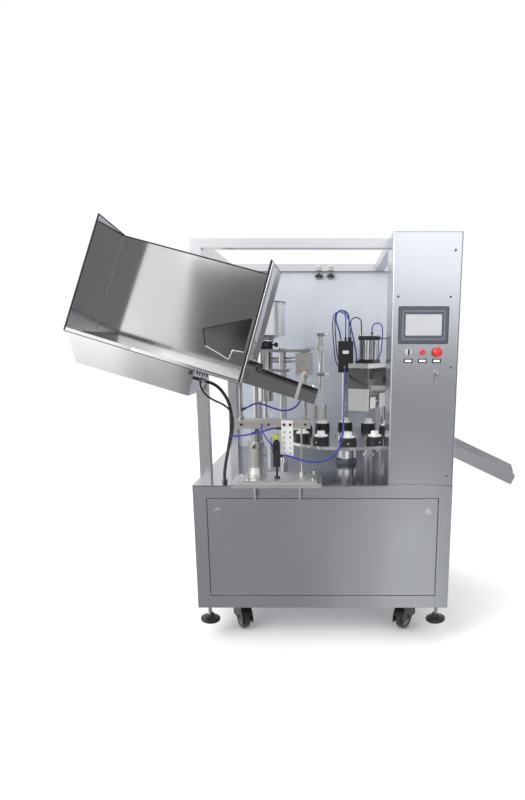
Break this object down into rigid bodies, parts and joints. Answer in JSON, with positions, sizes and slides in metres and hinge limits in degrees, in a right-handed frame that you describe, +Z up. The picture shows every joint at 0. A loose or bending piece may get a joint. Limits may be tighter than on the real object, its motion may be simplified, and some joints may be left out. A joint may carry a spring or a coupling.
{
  "type": "tube filling machine",
  "caption": "Free-standing rotary machine that feeds, fills and seals tubes: tilted magazine, indexing table, hopper and dosing pump, heater, sealing jaws, control column and discharge chute.",
  "frame": {"origin": "on the floor under the middle of the base cabinet", "axes": "+X to the right seen from the operator's side, +Y to the back, +Z up"},
  "size_m": [2.0753, 1.132, 1.8798],
  "materials": {
    "stainless": "brushed stainless sheet",
    "stainless_bright": "polished stainless",
    "guard_steel": "satin stainless tube",
    "white_panel": "pale opal sheet",
    "alloy": "milled alloy",
    "black_part": "matt black",
    "dark_steel": "black oxide and paint",
    "machine_grey": "grey machine paint",
    "panel_grey": "grey moulded bezel",
    "white_insert": "white machined plastic",
    "signal_red": "red moulded plastic",
    "wheel_rubber": "black rubber tread",
    "foot_dark": "dark foot pad",
    "hose_blue": "blue air hose",
    "cable_black": "black cable sheath"
  },
  "bodies": {
    "machine": {"base_posts": "stainless", "base_rails": "stainless", "cabinet_panels": "stainless", "bottom_plate": "stainless", "deck_plate": "stainless", "guard_posts": "guard_steel", "guard_rails": "guard_steel", "back_panel": "white_panel", "control_column": "stainless", "electrics_plate": "machine_grey", "indexer_gearbox": "machine_grey", "main_motor": "machine_grey", "loader_plates": "stainless_bright", "loader_column": "stainless_bright", "air_regulator": "black_part", "pump_stand": "stainless_bright", "product_hopper": "stainless_bright", "dosing_cylinder": "stainless_bright", "station_posts": "stainless_bright", "heater_body": "black_part", "seal_head": "alloy", "press_cylinder": "alloy", "discharge_chute": "stainless", "rear_caster_forks": "dark_steel", "air_hose": "hose_blue", "heater_hose": "hose_blue", "cable_bundle": "cable_black"},
    "front_door": {"front_door": "stainless"},
    "left_lock": {"left_lock": "stainless_bright"},
    "right_lock": {"right_lock": "stainless_bright"},
    "column_door": {"column_door": "stainless", "touch_panel": "panel_grey"},
    "selector_switch": {"selector_switch": "stainless_bright"},
    "start_button": {"start_button": "signal_red"},
    "emergency_stop": {"emergency_stop": "signal_red"},
    "door_key": {"door_key": "stainless_bright"},
    "turntable": {"rotary_table": "stainless_bright", "tube_holders": "black_part", "tube_inserts": "white_insert"},
    "loader_lift": {"lift_beam": "alloy", "magazine_bin": "stainless", "magazine_casing": "stainless", "feed_trough": "stainless"},
    "loading_cup": {"loading_cup": "alloy"},
    "tube_gate": {"tube_gate": "alloy"},
    "press_rod": {"press_rod": "stainless_bright"},
    "dosing_piston": {"dosing_piston": "stainless_bright"},
    "heater_nozzle": {"heater_nozzle": "stainless_bright"},
    "jaw_inner": {"jaw_inner": "alloy"},
    "jaw_outer": {"jaw_outer": "alloy"},
    "front_left_fork": {"front_left_fork": "dark_steel"},
    "front_right_fork": {"front_right_fork": "dark_steel"},
    "front_left_wheel": {"front_left_wheel": "wheel_rubber"},
    "front_right_wheel": {"front_right_wheel": "wheel_rubber"},
    "rear_left_wheel": {"rear_left_wheel": "wheel_rubber"},
    "rear_right_wheel": {"rear_right_wheel": "wheel_rubber"},
    "front_left_foot": {"front_left_foot": "foot_dark"},
    "front_right_foot": {"front_right_foot": "foot_dark"},
    "rear_left_foot": {"rear_left_foot": "foot_dark"},
    "rear_right_foot": {"rear_right_foot": "foot_dark"}
  },
  "joints": [
    {"name": "front_door_tilt", "type": "hinge", "parent": "machine", "child": "front_door", "pos_m": [0, -0.49, 0.242], "axis": [1, 0, 0], "range_deg": [0, 75]},
    {"name": "left_lock_turn", "type": "hinge", "parent": "front_door", "child": "left_lock", "pos_m": [-0.48, -0.495, 0.644], "axis": [0, -1, 0], "range_deg": [0, 90]},
    {"name": "right_lock_turn", "type": "hinge", "parent": "front_door", "child": "right_lock", "pos_m": [0.48, -0.495, 0.644], "axis": [0, 1, 0], "range_deg": [0, 90]},
    {"name": "column_door_swing", "type": "hinge", "parent": "machine", "child": "column_door", "pos_m": [0.3, -0.49, 1.306], "axis": [0, 0, -1], "range_deg": [0, 110]},
    {"name": "selector_turn", "type": "hinge", "parent": "column_door", "child": "selector_switch", "pos_m": [0.369, -0.495, 1.356], "axis": [0, -1, 0], "range_deg": [0, 60]},
    {"name": "start_press", "type": "slide", "parent": "column_door", "child": "start_button", "axis": [0, 1, 0], "range_m": [0, 0.004], "stiffness_N_per_m": 500},
    {"name": "emergency_press", "type": "slide", "parent": "column_door", "child": "emergency_stop", "axis": [0, 1, 0], "range_m": [0, 0.004], "stiffness_N_per_m": 800},
    {"name": "key_turn", "type": "hinge", "parent": "column_door", "child": "door_key", "pos_m": [0.491, -0.495, 1.269], "axis": [0, 1, 0], "range_deg": [0, 90]},
    {"name": "turntable_index", "type": "hinge", "parent": "machine", "child": "turntable", "pos_m": [0.121, 0, 0.901], "axis": [0, 0, 1], "continuous": true},
    {"name": "loader_lift", "type": "slide", "parent": "machine", "child": "loader_lift", "axis": [0, 0, 1], "range_m": [0, 0.06]},
    {"name": "cup_swing", "type": "hinge", "parent": "loader_lift", "child": "loading_cup", "pos_m": [-0.0455, -0.33976, 1.19], "axis": [-1, 0, 0], "range_deg": [0, 90]},
    {"name": "gate_drop", "type": "slide", "parent": "loader_lift", "child": "tube_gate", "axis": [0.2924, 0, 0.9563], "range_m": [-0.025, 0]},
    {"name": "press_stroke", "type": "slide", "parent": "machine", "child": "press_rod", "axis": [0, 0, 1], "range_m": [-0.1, 0]},
    {"name": "dosing_stroke", "type": "slide", "parent": "machine", "child": "dosing_piston", "axis": [0, 0, 1], "range_m": [0, 0.1]},
    {"name": "heater_stroke", "type": "slide", "parent": "machine", "child": "heater_nozzle", "axis": [0, 0, 1], "range_m": [-0.06, 0]},
    {"name": "inner_jaw_close", "type": "slide", "parent": "machine", "child": "jaw_inner", "axis": [0.5, 0.866, 0], "range_m": [0, 0.0245]},
    {"name": "outer_jaw_close", "type": "slide", "parent": "machine", "child": "jaw_outer", "axis": [-0.5, -0.866, 0], "range_m": [0, 0.0245]},
    {"name": "front_left_swivel", "type": "hinge", "parent": "machine", "child": "front_left_fork", "pos_m": [-0.383, -0.385, 0.158], "axis": [0, 0, 1], "continuous": true},
    {"name": "front_right_swivel", "type": "hinge", "parent": "machine", "child": "front_right_fork", "pos_m": [0.383, -0.385, 0.158], "axis": [0, 0, 1], "continuous": true},
    {"name": "front_left_roll", "type": "hinge", "parent": "front_left_fork", "child": "front_left_wheel", "pos_m": [-0.3999, -0.35321, 0.0625], "axis": [0.8829, 0.4695, 0], "continuous": true},
    {"name": "front_right_roll", "type": "hinge", "parent": "front_right_fork", "child": "front_right_wheel", "pos_m": [0.40313, -0.35515, 0.0625], "axis": [0.829, -0.5592, 0], "continuous": true},
    {"name": "rear_left_roll", "type": "hinge", "parent": "machine", "child": "rear_left_wheel", "pos_m": [-0.383, 0.385, 0.0625], "axis": [1, 0, 0], "continuous": true},
    {"name": "rear_right_roll", "type": "hinge", "parent": "machine", "child": "rear_right_wheel", "pos_m": [0.383, 0.385, 0.0625], "axis": [1, 0, 0], "continuous": true},
    {"name": "front_left_level", "type": "slide", "parent": "machine", "child": "front_left_foot", "axis": [0, 0, 1], "range_m": [-0.085, 0]},
    {"name": "front_right_level", "type": "slide", "parent": "machine", "child": "front_right_foot", "axis": [0, 0, 1], "range_m": [-0.085, 0]},
    {"name": "rear_left_level", "type": "slide", "parent": "machine", "child": "rear_left_foot", "axis": [0, 0, 1], "range_m": [-0.085, 0]},
    {"name": "rear_right_level", "type": "slide", "parent": "machine", "child": "rear_right_foot", "axis": [0, 0, 1], "range_m": [-0.085, 0]}
  ],
  "couplings": [
    {"joint": "inner_jaw_close", "follows": "outer_jaw_close", "ratio": 1}
  ]
}
